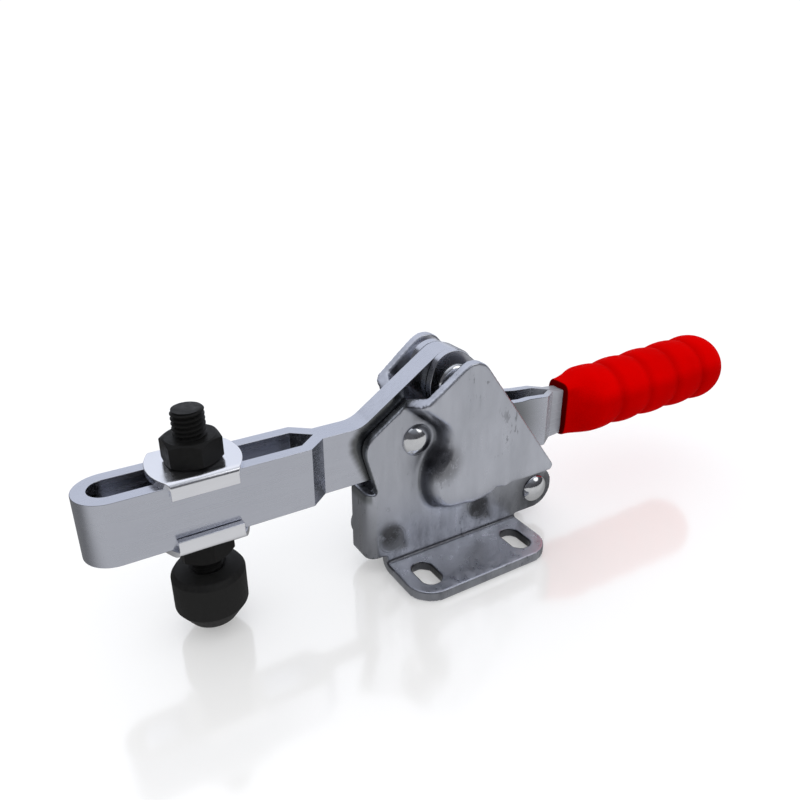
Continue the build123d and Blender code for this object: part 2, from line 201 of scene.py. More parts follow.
def bump(tree, shader, source, height, strength):
    node = tree.nodes.new("ShaderNodeBump")
    node.inputs["Distance"].default_value = height
    node.inputs["Strength"].default_value = strength
    tree.links.new(source, node.inputs["Height"])
    tree.links.new(node.outputs["Normal"], shader.inputs["Normal"])


def other_in_mirrors(tree, seen, mirrored, output):
    """Shows one shader directly and another one in reflections."""
    path = tree.nodes.new("ShaderNodeLightPath")
    mix = tree.nodes.new("ShaderNodeMixShader")
    tree.links.new(path.outputs["Is Glossy Ray"], mix.inputs["Fac"])
    tree.links.new(seen, mix.inputs[1])
    tree.links.new(mirrored, mix.inputs[2])
    tree.links.new(mix.outputs["Shader"], tree.nodes[output].inputs["Surface"])


# ---- Materials ---------------------------------------------------------------

# Dark patches on the plates: partly wear, partly painted shade round the rivet heads and the lobe.
WORN_AND_SHADED_PATCHES = [                        # spot, radius and depth of tone
    ((-9.5, 4.5, 35.0), 8.5, 0.8), ((-22.8, 9.5, 12.8), 5.5, 0.9), ((9.2, 9.5, 12.0), 5.5, 0.9),
    ((33.0, 9.5, 12.0), 11.0, 0.7), ((-13.0, 8.0, 49.0), 4.0, 0.6)]


def plate_steel():
    """Zinc-plated stamped sheet: satin, with fine streaks, specks, a few dark patches of wear and
    painted shade, painted shade in its hollows and a painted light on the flange's top.
    """
    material, tree, shader = new_material("plate_steel")
    shader.inputs["Metallic"].default_value = 1.0
    place, faces = parts_of(tree, "Object"), parts_of(tree, "Normal")
    up = place["Z"]
    out = maths(tree, "ABSOLUTE", maths(tree, "SUBTRACT", place["Y"], MID_Y * MM))
    clouds = noise(tree, 70.0, 5.0, 0.6, (1.0, 1.0, 0.45))
    colour = ramp(tree, clouds, [
        (0.30, (0.52, 0.54, 0.60)), (0.55, (0.60, 0.62, 0.69)), (0.75, (0.66, 0.69, 0.76))])
    specks = span(tree, noise(tree, 620.0, 3.0, 0.7, (1.0, 1.0, 0.4)), 0.36, 0.42, 1.0, 0.0)
    speckled = span(tree, noise(tree, 60.0, 3.0, 0.6), 0.50, 0.62, 0.0, 0.6)
    colour = darken(tree, colour, product(tree, specks, speckled), (0.35, 0.35, 0.35))
    ragged = span(tree, noise(tree, 330.0, 6.0, 0.75), 0.32, 0.50, 0.0, 1.0)
    # Dark patches, partly wear and partly painted shade round the rivet heads.
    for spot, radius, depth in WORN_AND_SHADED_PATCHES:
        patch = product(tree, near_spot(tree, spot, radius), ragged, depth)
        colour = darken(tree, colour, patch, (0.30, 0.29, 0.28))
    # Painted shade at the foot of the walls, but not on the flange's top; faint on the front wall.
    streaked = span(tree, noise(tree, 160.0, 5.0, 0.7, (1.0, 1.0, 0.5)), 0.25, 0.60, 1.0, 0.7)
    foot_shade = product(
        tree, span(tree, up, 0.008, 0.026, 1.0, 0.0), streaked,
        span(tree, faces["Z"], 0.7, 0.98, 1.0, 0.0),
        span(tree, place["X"], -0.0312, -0.0290, 0.3, 1.0))
    colour = darken(tree, colour, foot_shade, (0.36, 0.36, 0.36))
    # Painted shade: the flat wall, a little darker than the drawn guard.
    colour = darken(tree, colour, span(tree, out, 0.0075, 0.0105, 0.4, 0.0), (0.70, 0.70, 0.69))
    # Painted shade on the front rim of the flat wall.
    rim = product(
        tree, span(tree, up, 0.0235, 0.0260, 0.0, 1.0), span(tree, faces["X"], -0.6, -0.35, 1.0, 0.0),
        span(tree, out, 0.0068, 0.0074, 1.0, 0.0))
    colour = darken(tree, colour, rim, (0.50, 0.51, 0.49))
    # Painted shade in the bend between the flange and the wall.
    bend_shade = product(
        tree, span(tree, faces["Z"], 0.1, 0.3, 0.0, 1.0), span(tree, faces["Z"], 0.85, 0.97, 1.0, 0.0),
        span(tree, up, 0.0046, 0.0054, 1.0, 0.0), span(tree, place["Y"], 0.0050, 0.0070, 0.0, 1.0))
    colour = darken(tree, colour, bend_shade, (0.46, 0.46, 0.47))
    # Painted light: the flange's top, lighter.
    level = product(
        tree, span(tree, faces["Z"], 0.95, 0.99, 0.0, 0.7), span(tree, up, 0.0032, 0.0036, 1.0, 0.0))
    colour = mixed(tree, colour, level, (0.88, 0.90, 0.97))
    # Painted shade on the walls of the slots.
    upright = span(tree, faces["Z"], 0.3, 0.7, 1.0, 0.0)
    for slot_x in (-FLANGE_SLOT_X, FLANGE_SLOT_X):
        slot_shade = product(tree, near_spot(tree, (slot_x, 0.0, 1.5), 9.0), upright)
        colour = darken(tree, colour, slot_shade, (0.10, 0.10, 0.10))
    # Painted shade in the crease at the foot of the drawn slope.
    crease_shade = tree.nodes.new("ShaderNodeAttribute")
    crease_shade.attribute_name = "crease_shade"
    colour = darken(tree, colour, crease_shade.outputs["Fac"], (0.24, 0.24, 0.25))
    tree.links.new(colour, shader.inputs["Base Color"])
    streaks = noise(tree, 420.0, 4.0, 0.6, (1.0, 1.0, 0.15))
    tree.links.new(span(tree, streaks, 0.3, 0.7, 0.26, 0.42), shader.inputs["Roughness"])
    height = maths(tree, "ADD", streaks, product(tree, specks, -0.6))
    bump(tree, shader, height, 0.00006, 0.35)
    return material


def strip_steel(name, low, high, roughness, shaded=(), dull=()):
    """Bright zinc-plated strip: smooth and bluish, with a faint grain along its length.

    Its side faces carry painted shade round the shaded places, and it is matt round the dull ones; each
    place is (spot, radius)."""
    material, tree, shader = new_material(name)
    shader.inputs["Metallic"].default_value = 1.0
    colour = ramp(tree, noise(tree, 45.0, 4.0, 0.6), [(0.3, low), (0.7, high)])
    sideways = span(
        tree, maths(tree, "ABSOLUTE", parts_of(tree, "Normal")["Y"]), 0.5, 0.9, 0.0, 1.0)
    # Painted shade on the side faces round these places.
    shade_mask = 0.0
    for spot, radius in shaded:
        shade_mask = maths(tree, "MAXIMUM", near_spot(tree, spot, radius), shade_mask)
    colour = darken(tree, colour, product(tree, sideways, shade_mask), (0.26, 0.26, 0.24))
    for spot, radius in dull:
        mask = near_spot(tree, spot, radius)
        colour = darken(tree, colour, mask, (0.55, 0.55, 0.55))
        tree.links.new(maths(tree, "SUBTRACT", 1.0, mask), shader.inputs["Metallic"])
    tree.links.new(colour, shader.inputs["Base Color"])
    grain = noise(tree, 900.0, 3.0, 0.5, (0.08, 1.0, 1.0))
    sheen = span(tree, grain, 0.3, 0.7, roughness - 0.05, roughness + 0.05)
    tree.links.new(sheen, shader.inputs["Roughness"])
    bump(tree, shader, grain, 0.00001, 0.15)
    return material


def rivet_steel():
    """Bright plated rivet heads with slight ripples."""
    material, tree, shader = new_material("rivet_steel")
    shader.inputs["Metallic"].default_value = 1.0
    clouds = noise(tree, 350.0, 3.0)
    colour = ramp(tree, clouds, [(0.3, (0.66, 0.67, 0.70)), (0.7, (0.80, 0.81, 0.83))])
    tree.links.new(colour, shader.inputs["Base Color"])
    tree.links.new(span(tree, clouds, 0.3, 0.7, 0.06, 0.14), shader.inputs["Roughness"])
    bump(tree, shader, clouds, 0.00008, 0.5)
    return material


def black_steel():
    """Black oxide on the spindle and nuts."""
    material, tree, shader = new_material("black_steel")
    grain = noise(tree, 700.0, 4.0)
    colour = ramp(tree, grain, [(0.3, (0.004, 0.004, 0.004)), (0.7, (0.008, 0.008, 0.008))])
    tree.links.new(colour, shader.inputs["Base Color"])
    tree.links.new(span(tree, grain, 0.3, 0.7, 0.40, 0.55), shader.inputs["Roughness"])
    shader.inputs["Specular IOR Level"].default_value = 0.15
    bump(tree, shader, grain, 0.00003, 0.4)
    return material


def black_rubber():
    """Matt moulded rubber."""
    material, tree, shader = new_material("black_rubber")
    grain = noise(tree, 900.0, 5.0, 0.7)
    colour = ramp(tree, grain, [(0.3, (0.007, 0.007, 0.007)), (0.7, (0.013, 0.013, 0.013))])
    tree.links.new(colour, shader.inputs["Base Color"])
    tree.links.new(span(tree, grain, 0.3, 0.7, 0.50, 0.65), shader.inputs["Roughness"])
    shader.inputs["Specular IOR Level"].default_value = 0.22
    bump(tree, shader, grain, 0.00005, 0.5)
    return material


def red_grip():
    """Matt red vinyl, dipped on, with painted shade at its mouth, underneath and in its valleys."""
    material, tree, shader = new_material("red_grip")
    clouds = noise(tree, 60.0, 3.0)
    colour = ramp(tree, clouds, [(0.3, (0.58, 0.0, 0.0)), (0.7, (0.68, 0.0, 0.0))])
    x = parts_of(tree, "Object")["X"]
    # Painted shade on the mouth's end face.
    mouth = span(tree, x, GRIP_MOUTH * MM, (GRIP_MOUTH + 0.4) * MM, 0.9, 0.0)
    colour = darken(tree, colour, mouth, (0.12, 0.12, 0.12))
    # Painted shade on the grip's underside.
    underside_shade = span(tree, parts_of(tree, "Normal")["Z"], 0.10, 0.55, 0.5, 0.0)
    colour = darken(tree, colour, underside_shade, (0.45, 0.45, 0.45))
    # Painted shade in the valleys between the bulges.
    for valley in GRIP_VALLEYS:
        off = maths(tree, "ABSOLUTE", maths(tree, "SUBTRACT", x, valley * MM))
        colour = darken(tree, colour, span(tree, off, 0.0, 0.0034, 0.30, 0.0), (0.50, 0.50, 0.50))
    tree.links.new(colour, shader.inputs["Base Color"])
    tree.links.new(span(tree, clouds, 0.3, 0.7, 0.38, 0.46), shader.inputs["Roughness"])
    shader.inputs["IOR"].default_value = 1.02
    bump(tree, shader, noise(tree, 1100.0, 3.0), 0.00001, 0.3)
    return material


def spots_along(corners, step):
    """Places this far apart along a line of corners, in X and Z."""
    out = []
    for (x0, z0), (x1, z1) in zip(corners, corners[1:]):
        count = max(1, round(math.hypot(x1 - x0, z1 - z0) / step))
        out += [(x0 + (x1 - x0) * n / count, z0 + (z1 - z0) * n / count) for n in range(count)]
    return out


STRIP_TONES = (0.57, 0.59, 0.66), (0.61, 0.63, 0.70)
WASHER_TONES = (0.90, 0.91, 0.96), (0.94, 0.95, 0.99)
# Painted shade on the side faces of the arm and lever round the toggle pivot, the arm's end and the
# lever's end.
TOGGLE_SHADE = ((13.0, 16.2, 36.0), 26.0)
# The near plate's front rim, along which the arm's side carries a painted shadow.
PLATE_RIM = [(-24.5, 26.0), (-31.0, 41.5), (-31.0, 43.5), (-29.0, 46.0), (-15.0, 56.0)]
ARM_SHADE = [((-7.0, 12.7, 53.0), 16.0), TOGGLE_SHADE] + [
    ((x, 12.7, z), 3.6) for x, z in spots_along(PLATE_RIM, 1.6)]
LEVER_SHADE = [((-5.0, 11.0, 54.0), 16.0), TOGGLE_SHADE]
LEVER_DULL = [((45.5, 16.2, 35.0), 16.0)]               # beside the grip's mouth

MATERIALS = {
    "plate_steel": plate_steel(),
    "arm_steel": strip_steel("arm_steel", *STRIP_TONES, 0.24, ARM_SHADE),
    "lever_steel": strip_steel("lever_steel", *STRIP_TONES, 0.24, LEVER_SHADE, LEVER_DULL),
    "washer_steel": strip_steel("washer_steel", *WASHER_TONES, 0.20),
    "rivet_steel": rivet_steel(),
    "black_steel": black_steel(),
    "black_rubber": black_rubber(),
    "red_grip": red_grip(),
}
SLOTS = {row["node"]: row["material_slot"] for row in frame["record"]["subparts"]}
BODIES = {node: body for body, nodes in frame["record"]["behaviour"]["bodies"].items() for node in nodes}

for name, slot in SLOTS.items():
    for place in frame["nodes"][name].material_slots:
        place.material = MATERIALS[slot]

# ---- Piece helpers -----------------------------------------------------------


def show_instead(mesh, name, material=None):
    """Shows this mesh in place of the CAD node of the same name, moving with its body."""
    slot = SLOTS[name]
    mesh.materials.clear()
    mesh.materials.append(MATERIALS[material or slot])
    piece = bpy.data.objects.new(name + ".shown", mesh)
    bpy.context.scene.collection.objects.link(piece)
    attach(piece, BODIES[name])
    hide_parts(name)
    return piece


def as_mesh(name, points, faces):
    mesh = bpy.data.meshes.new(name)
    mesh.from_pydata(points, [], faces)
    mesh.validate()
    mesh.shade_smooth()
    return mesh


def rounded(corners, steps=4):
    """Points along a line of (a, b, radius) corners, each corner turned by an arc of its radius."""
    out = []
    for i, (a, b, radius) in enumerate(corners):
        here = Vector((a, b))
        if radius == 0 or i in (0, len(corners) - 1):
            out.append((a, b))
            continue
        back = (Vector(corners[i - 1][:2]) - here).normalized()
        ahead = (Vector(corners[i + 1][:2]) - here).normalized()
        half = back.angle(ahead) / 2
        reach = radius / math.tan(half)
        start, end = here + back * reach, here + ahead * reach
        centre = here + (back + ahead).normalized() * radius / math.sin(half)
        for n in range(steps + 1):
            turn = n / steps
            spoke = (start - centre).slerp(end - centre, turn, start - centre)
            out.append(tuple(centre + spoke.normalized() * radius))
    return out


def turned(name, profile, centre, axis, steps=96):
    """A solid of revolution: (along, radius) points about an axis through the centre."""
    axis = Vector(axis)
    first = axis.orthogonal().normalized()
    second = axis.cross(first)
    points, faces, rings = [], [], []
    for along, radius in profile:
        middle = Vector(centre) + axis * along
        if radius < 1e-6:
            rings.append([len(points)] * steps)
            points.append(middle * MM)
            continue
        rings.append([len(points) + n for n in range(steps)])
        for n in range(steps):
            turn = 2 * math.pi * n / steps
            points.append((middle + (first * math.cos(turn) + second * math.sin(turn)) * radius) * MM)
    for low, high in zip(rings, rings[1:]):
        for n in range(steps):
            m = (n + 1) % steps
            face = [low[n], low[m], high[m], high[n]]
            face = [v for k, v in enumerate(face) if v not in face[:k]]
            if len(face) > 2:
                faces.append(face)
    return as_mesh(name, points, faces)


def cap(radius, height, base, steps=8):
    """(along, radius) points of a shallow dome from its rim at base to its top."""
    ball = (radius ** 2 + height ** 2) / (2 * height)
    lowest = math.asin(radius / ball)
    out = []
    for n in range(steps + 1):
        lean = lowest * (1 - n / steps)
        out.append((base + height - ball + ball * math.cos(lean), ball * math.sin(lean)))
    return out


WELD = 0.001                            # vertices this close are one
FLAT = math.radians(1.0)                # faces that meet at less than this are one


def copy_of(name):
    """A bmesh of a CAD node with its flat faces whole again."""
    work = bmesh.new()
    work.from_mesh(frame["nodes"][name].data)
    bmesh.ops.remove_doubles(work, verts=work.verts, dist=WELD * MM)
    bmesh.ops.dissolve_limit(work, angle_limit=FLAT, verts=work.verts, edges=work.edges)
    return work


def soften(name, width, material=None, work=None):
    """Shows a CAD node, or a reworked bmesh of it, with its sharp edges rounded off by this width."""
    work = work or copy_of(name)
    mesh = bpy.data.meshes.new(name)
    work.to_mesh(mesh)
    work.free()
    if "custom_normal" in mesh.attributes:
        mesh.attributes.remove(mesh.attributes["custom_normal"])
    mesh.shade_smooth()
    piece = show_instead(mesh, name, material)
    edge = piece.modifiers.new("edge", "BEVEL")
    edge.width = width * MM
    edge.segments = 2
    edge.limit_method = "ANGLE"
    edge.angle_limit = math.radians(25)
    edge.harden_normals = True


# ---- Base plates: the drawn guard's slope, lower edge, crown and rims --------

OPENED_PIVOT = (0.0, 28.2)              # the lever pivot when the clamp is open
DRAW_ARM = 5.9                          # radius of the draw line round the arm pivot
DRAW_LEVER = 13.34                      # and round the opened lever pivot
DRAW_LEAD = 50.0                        # which way the slope rises on the straight lead-in, in degrees
DRAW_ARM_TURN = 92.9                    # degrees turned round the arm pivot
DRAW_LEVER_START = 137.1                # where the line meets the round of the lever pivot
DRAW_LEVER_TURN = 152.9                 # and the degrees turned there
DRAW_EXIT = 20.0                        # climb of the last straight stretch, in degrees
GUARD_STEP = 7.0                        # how far the guard stands out from the flat wall
DRAFT = math.radians(26.0)              # lean of the drawn slope
CREST_REACH = 4.4                       # from the draw line to the guard's full height, rounded over
PLATE_VOXEL = 0.42


def draw_line():
    """Points along the foot of the drawn slope in X and Z, each with the direction of its rise."""
    out = []
    lead = math.radians(DRAW_LEAD)
    up = (math.cos(lead), math.sin(lead))
    for n in range(30, 0, -1):
        out.append((
            ARM_PIVOT[0] + DRAW_ARM * up[0] - 0.6 * n * up[1],
            ARM_PIVOT[1] + DRAW_ARM * up[1] + 0.6 * n * up[0], *up))
    for n in range(41):
        turn = math.radians(DRAW_LEAD - DRAW_ARM_TURN * n / 40)
        way = (math.cos(turn), math.sin(turn))
        out.append((ARM_PIVOT[0] + DRAW_ARM * way[0], ARM_PIVOT[1] + DRAW_ARM * way[1], *way))
    for n in range(81):
        turn = math.radians(DRAW_LEVER_START + DRAW_LEVER_TURN * n / 80)
        way = (math.cos(turn), math.sin(turn))
        out.append((
            OPENED_PIVOT[0] + DRAW_LEVER * way[0], OPENED_PIVOT[1] + DRAW_LEVER * way[1],
            -way[0], -way[1]))
    rise = math.radians(DRAW_EXIT)
    last = out[-1]
    for n in range(1, 20):
        out.append((
            last[0] + 0.5 * n * math.cos(rise), last[1] + 0.5 * n * math.sin(rise),
            -math.sin(rise), math.cos(rise)))
    return np.array(out)


DRAW_LINE = draw_line()


def past_draw_line(places):
    """How far each place lies past the draw line; negative on the flat side."""
    flat = places[:, [0, 2]]
    past = np.empty(len(flat))
    batch = 20000
    for start in range(0, len(flat), batch):
        part = flat[start:start + batch]
        gaps = part[:, None, :] - DRAW_LINE[None, :, :2]
        nearest = (gaps ** 2).sum(2).argmin(1)
        gap = gaps[np.arange(len(part)), nearest]
        side = np.sign((gap * DRAW_LINE[nearest, 2:]).sum(1))
        past[start:start + batch] = side * np.hypot(gap[:, 0], gap[:, 1])
    return past


def remeshed(name, voxel):
    """An even mesh over a CAD node, from voxels of this size."""
    work = copy_of(name)
    mesh = bpy.data.meshes.new(name)
    work.to_mesh(mesh)
    work.free()
    piece = bpy.data.objects.new(name + ".work", mesh)
    bpy.context.scene.collection.objects.link(piece)
    modifier = piece.modifiers.new("voxels", "REMESH")
    modifier.mode = "VOXEL"
    modifier.voxel_size = voxel * MM
    graph = bpy.context.evaluated_depsgraph_get()
    result = bpy.data.meshes.new_from_object(piece.evaluated_get(graph))
    bpy.data.objects.remove(piece)
    return result


def averaged(values, ends, counts):
    """Each vertex's mean over its neighbours."""
    total = np.zeros_like(values)
    np.add.at(total, ends[:, 0], values[ends[:, 1]])
    np.add.at(total, ends[:, 1], values[ends[:, 0]])
    return total / counts


def ease(values, low, high):
    """0 below low, 1 above high and smooth between."""
    share = np.clip((values - low) / (high - low), 0, 1)
    return share * share * (3 - 2 * share)


def reshape(places, past, out, far):
    """Lifts the foot of the drawn bulge to the guard's lower edge, and the far guard's crown."""
    x, z = places[:, 0], places[:, 2]
    lift = 2.6 * ease(x, -11.0, -1.0) - 0.22 * np.clip(x + 1.0, 0, 10.6)
    band = ease(z, 13.0, 16.5) * (1 - ease(z, 19.0, 29.0)) * ease(past, -1.6, -0.2)
    band *= (x < 9.8) | (out > PLATE_OUTER + 0.3)
    band *= 1 - ease(x, 9.8, 10.6)
    places[:, 2] += lift * band
    if far:
        places[:, 2] += 1.2 * ease(x, -15.0, -3.0) * ease(z, 46.0, 58.0)


def smooth_plate(name):
    """The plate with its edges dulled and its drawn slope run into a full, soft curve."""
    mesh = remeshed(name, PLATE_VOXEL)
    places = np.empty(3 * len(mesh.vertices))
    mesh.vertices.foreach_get("co", places)
    places = places.reshape(-1, 3) / MM
    ends = np.empty(2 * len(mesh.edges), dtype=np.int32)
    mesh.edges.foreach_get("vertices", ends)
    ends = ends.reshape(-1, 2)
    counts = np.bincount(ends.ravel(), minlength=len(places))[:, None]
    for _ in range(2):
        places += 0.5 * (averaged(places, ends, counts) - places)
    out = np.abs(places[:, 1] - MID_Y)
    sign = np.sign(places[:, 1] - MID_Y)
    past = past_draw_line(places)
    reshape(places, past, out, name == "base_far_plate")
    # The slope, straight in the CAD, is run steep at its foot and broad at its crest.
    slope = math.tan(DRAFT)
    inset = SHEET / math.cos(DRAFT) - SHEET * slope
    straight = np.clip(past / slope, 0, GUARD_STEP)
    full = GUARD_STEP * (1 - (1 - np.clip(past / CREST_REACH, 0, 1)) ** 3)
    outer = PLATE_OUTER + straight
    inner = PLATE_OUTER - SHEET + np.clip((past - inset) / slope, 0, GUARD_STEP)
    through = np.clip((out - inner) / (outer - inner), 0, 1)
    lower = (places[:, 0] > 9.2) & (places[:, 2] < 21.5)    # flat, under the guard's rear end
    guard = (past > -1.0) & (past < 8.0) & (out > 3.0) & ~lower
    out[guard] += (through * (full - straight))[guard]
    places[:, 1] = MID_Y + sign * out
    near = np.clip((5.5 - np.abs(past - 1.5)) / 2.0, 0, 1) * ~lower
    for _ in range(8):
        middle = averaged(places[:, 1:2], ends, counts)[:, 0]
        places[:, 1] += 0.7 * near * (middle - places[:, 1])
    mesh.vertices.foreach_set("co", (places * MM).ravel())
    mesh.update()
    # The mask of the painted shade in the crease at the foot of the drawn slope.
    crease_shade = mesh.attributes.new("crease_shade", "FLOAT", "POINT")
    foot_shade = np.exp(-((past - 0.5) / 0.9) ** 2) * ~lower * (out > PLATE_OUTER - 0.6)
    crease_shade.data.foreach_set("value", foot_shade)
    mesh.shade_smooth()
    show_instead(mesh, name)


smooth_plate("base_near_plate")
smooth_plate("base_far_plate")

# ---- Rivets ------------------------------------------------------------------

PIN = 3.0                               # radius of a pivot rivet's pin
HEAD = 4.7                              # radius and height of its head
HEAD_HEIGHT = 2.4
LEVER_HEAD = 5.8
LINK_STUB = 3.7                         # inner end of a link rivet from the middle plane
BASE_PIN = 3.7                          # radius of a base rivet's shank
DISH = [                                # its near end: a shallow dish, from the middle over the rim
    (-6.35, 0), (-6.38, 1.2), (-6.50, 2.6), (-6.66, 3.6),
    (-6.72, 4.2), (-6.68, 4.6), (-6.4, 4.6), (-6.4, BASE_PIN)]


def pin_profile(half_grip, pin, head, height):
    """Half a rivet, from its middle outwards, with a domed head that stands on a thin rim."""
    rim = 0.35
    return [(0, pin), (half_grip, pin), (half_grip, head), (half_grip + rim, head)] + cap(
        head, height - rim, half_grip + rim)[1:]


def add_rivet(name, profile, spot, side=1, material=None):
    """A rivet across the clamp; its profile is (distance from the middle plane, radius) points."""
    mesh = turned(name, profile, (spot[0], MID_Y, spot[1]), (0, side, 0))
    show_instead(mesh, name, material)


def add_pivot_rivet(name, spot, half_grip, head=HEAD):
    half = pin_profile(half_grip, PIN, head, HEAD_HEIGHT)
    add_rivet(name, [(-along, radius) for along, radius in reversed(half[1:])] + half, spot)


add_pivot_rivet("arm_pivot_rivet", ARM_PIVOT, PLATE_OUTER)
add_pivot_rivet("lever_pivot_rivet", LEVER_PIVOT, LEVER_OUTER, LEVER_HEAD)
add_pivot_rivet("toggle_rivet", TOGGLE_PIVOT, LEVER_OUTER)
for name, side in (("link_near_rivet", -1), ("link_far_rivet", 1)):
    stub = [(LINK_STUB, 0), (LINK_STUB, PIN)] + pin_profile(PLATE_OUTER, PIN, HEAD, HEAD_HEIGHT)[1:]
    add_rivet(name, stub, LINK_PIVOT, side)
for name, spot, head in (
        ("front_base_rivet", FRONT_BASE_RIVET, 6.5), ("rear_base_rivet", REAR_BASE_RIVET, 4.6)):
    profile = DISH + pin_profile(PLATE_OUTER, BASE_PIN, head, 1.8)[1:]
    add_rivet(name, profile, spot, material="plate_steel")

# ---- Arm, lever, link, washers and nuts --------------------------------------

ARM_END = (-2.0, 56.8)                  # centre and radius of the arm's round end in the CAD
ARM_END_RADIUS = 8.8
LEVER_END_RADIUS = 8.5                  # the lever's is round its pivot
CROWN = (-2.05, 58.2)                   # centre of the narrower round at the top of both
ARM_CROWN_RADIUS = 6.9
LEVER_CROWN_RADIUS = 7.0


def recrown(work, centre, radius, new_radius, angles):
    """Moves the vertices of a rounded end to the crown's circle, fully between the middle angles."""
    for vertex in work.verts:
        x, z = vertex.co.x / MM - centre[0], vertex.co.z / MM - centre[1]
        if abs(math.hypot(x, z) - radius) > 0.05:
            continue
        angle = math.degrees(math.atan2(z, x)) % 360
        if angle > 300:
            angle -= 360
        share = float(ease(np.array(angle), *angles[:2]) * (1 - ease(np.array(angle), *angles[2:])))
        turn = math.radians(angle)
        new_x = CROWN[0] + new_radius * math.cos(turn)
        new_z = CROWN[1] + new_radius * math.sin(turn)
        vertex.co.x += share * (new_x * MM - vertex.co.x)
        vertex.co.z += share * (new_z * MM - vertex.co.z)
    return work


def whole_arm():
    """The arm with the hairline between its two legs closed."""
    work = bmesh.new()
    work.from_mesh(frame["nodes"]["clamp_arm"].data)
    for vertex in work.verts:
        if abs(vertex.co.y / MM - MID_Y) < 0.06:
            vertex.co.y = MID_Y * MM
    bmesh.ops.remove_doubles(work, verts=work.verts, dist=WELD * MM)
    inside = [f for f in work.faces if all(abs(v.co.y / MM - MID_Y) < 1e-4 for v in f.verts)]
    bmesh.ops.delete(work, geom=inside, context="FACES")
    bmesh.ops.dissolve_limit(work, angle_limit=FLAT, verts=work.verts, edges=work.edges)
    return work


arm = recrown(whole_arm(), ARM_END, ARM_END_RADIUS, ARM_CROWN_RADIUS, (40, 75, 200, 230))
soften("clamp_arm", 0.25, work=arm)
for name in ("lever_near_plate", "lever_far_plate"):
    plate = recrown(
        copy_of(name), LEVER_PIVOT, LEVER_END_RADIUS, LEVER_CROWN_RADIUS, (40, 75, 135, 180))
    soften(name, 0.25, "lever_steel", plate)
soften("link_near_plate", 0.2)
soften("link_far_plate", 0.2)
soften("upper_washer", 0.2, "washer_steel")
soften("lower_washer", 0.2, "washer_steel")


def add_nut(name, base):
    """A hexagon nut with a cone turned on both faces."""
    steps, flat, face, bore, height = 96, 6.5, 6.1, 3.9, 6.5
    turn = 3.0                          # degrees between a flat's normal and the arm's length
    cone = 0.62                         # drop of the cone for each millimetre outwards
    points, faces = [], []
    for n in range(steps):
        angle = 360 * n / steps
        reach = flat / math.cos(math.radians((angle + 30) % 60 - 30))
        drop = (reach - face) * cone
        way = math.radians(angle + turn)
        ring = (
            (0, bore), (0, face), (drop, reach), (height - drop, reach), (height, face), (height, bore))
        for z, r in ring:
            points.append(Vector((
                SPINDLE_X + r * math.cos(way), MID_Y + r * math.sin(way), base + z)) * MM)
    for n in range(steps):
        m = (n + 1) % steps
        for k in range(6):
            j = (k + 1) % 6
            faces.append([6 * n + k, 6 * m + k, 6 * m + j, 6 * n + j])
    mesh = as_mesh(name, points, faces)
    mesh.set_sharp_from_angle(angle=math.radians(24))
    show_instead(mesh, name)


add_nut("upper_nut", UPPER_NUT_BASE)
add_nut("lower_nut", LOWER_NUT_BASE)

# ---- Spindle and rubber tip --------------------------------------------------


def add_spindle(low=7.4, high=62.8, pitch=1.25, crest=4.0, root=3.3, lead_in=0.35, steps=48):
    """The threaded spindle: one helical skin, closed by flat ends."""
    shape = [(0.0, crest), (0.14, crest), (0.50, root), (0.64, root)]   # share of a turn, radius
    turns = int((high - low) / pitch) + 3
    points, faces, rows = [], [], []
    for turn in range(-1, turns):
        for share, radius in shape:
            row = []
            for n in range(steps + 1):
                z = low + (turn + share + n / steps) * pitch
                place = min(max(z, low), high)
                limit = crest - max(0.0, place - (high - lead_in))
                r = min(radius, limit) if low < z < high else limit
                angle = 2 * math.pi * n / steps
                row.append(len(points))
                points.append(Vector((
                    SPINDLE_X + r * math.cos(angle), MID_Y + r * math.sin(angle), place)) * MM)
            rows.append(row)
    for below, above in zip(rows, rows[1:]):
        for n in range(steps):
            faces.append([below[n], below[n + 1], above[n + 1], above[n]])
    mesh = as_mesh("spindle", points, faces)
    work = bmesh.new()
    work.from_mesh(mesh)
    bmesh.ops.remove_doubles(work, verts=work.verts, dist=0.002 * MM)
    bmesh.ops.dissolve_degenerate(work, edges=work.edges, dist=0.002 * MM)
    bmesh.ops.holes_fill(work, edges=[e for e in work.edges if e.is_boundary])
    work.to_mesh(mesh)
    work.free()
    mesh.shade_smooth()
    mesh.set_sharp_from_angle(angle=math.radians(50))
    show_instead(mesh, "spindle")


add_spindle()
TIP = rounded([
    (2.6, 0, 0), (2.6, 6.2, 0.6), (7.4, 9.5, 0.8), (16.6, 9.5, 0.8), (18.0, 8.6, 0.6), (18.6, 4.8, 0.3),
    (18.2, 4.2, 0), (18.2, 0, 0)])
show_instead(turned("rubber_tip", TIP, (SPINDLE_X, MID_Y, 0), (0, 0, 1)), "rubber_tip")

# ---- Grip --------------------------------------------------------------------

GRIP_MOUTH_Z = 34.8                     # height of the grip's axis at its mouth
GRIP_BODY_Z = 35.2                      # where it has grown round
GRIP_END_Z = 35.9                       # and at its domed end
GRIP_ROUND = 58.0                       # X from which it is round
GRIP_DOME = 110.4                       # X at which the domed end starts
MOUTH_HALF_WIDTH = 4.7
MOUTH_HALF_HEIGHT = 9.2
MOUTH_POWER = 5.0                       # the mouth's outline: 2 would be an ellipse
VALLEY_DEPTH = 1.1


def climb(value, low, length):
    """0 at low and 1 a length further on, straight between."""
    return min(1.0, max(0.0, (value - low) / length))


def grip_radius(x):
    """The round body's radius along the grip: bulges between narrow valleys, fuller towards the end."""
    full = 11.25 + 0.65 * climb(x, GRIP_ROUND, 45.0)
    if x >= GRIP_DOME:
        return math.sqrt(max(0.0, full ** 2 - (x - GRIP_DOME) ** 2))
    spots = [52.2, *GRIP_VALLEYS, 116.0]
    for left, right in zip(spots, spots[1:]):
        if x <= right:
            bulge = math.sin(math.pi * climb(x, left, right - left)) ** 0.7
            return full - VALLEY_DEPTH + VALLEY_DEPTH * bulge
    return full


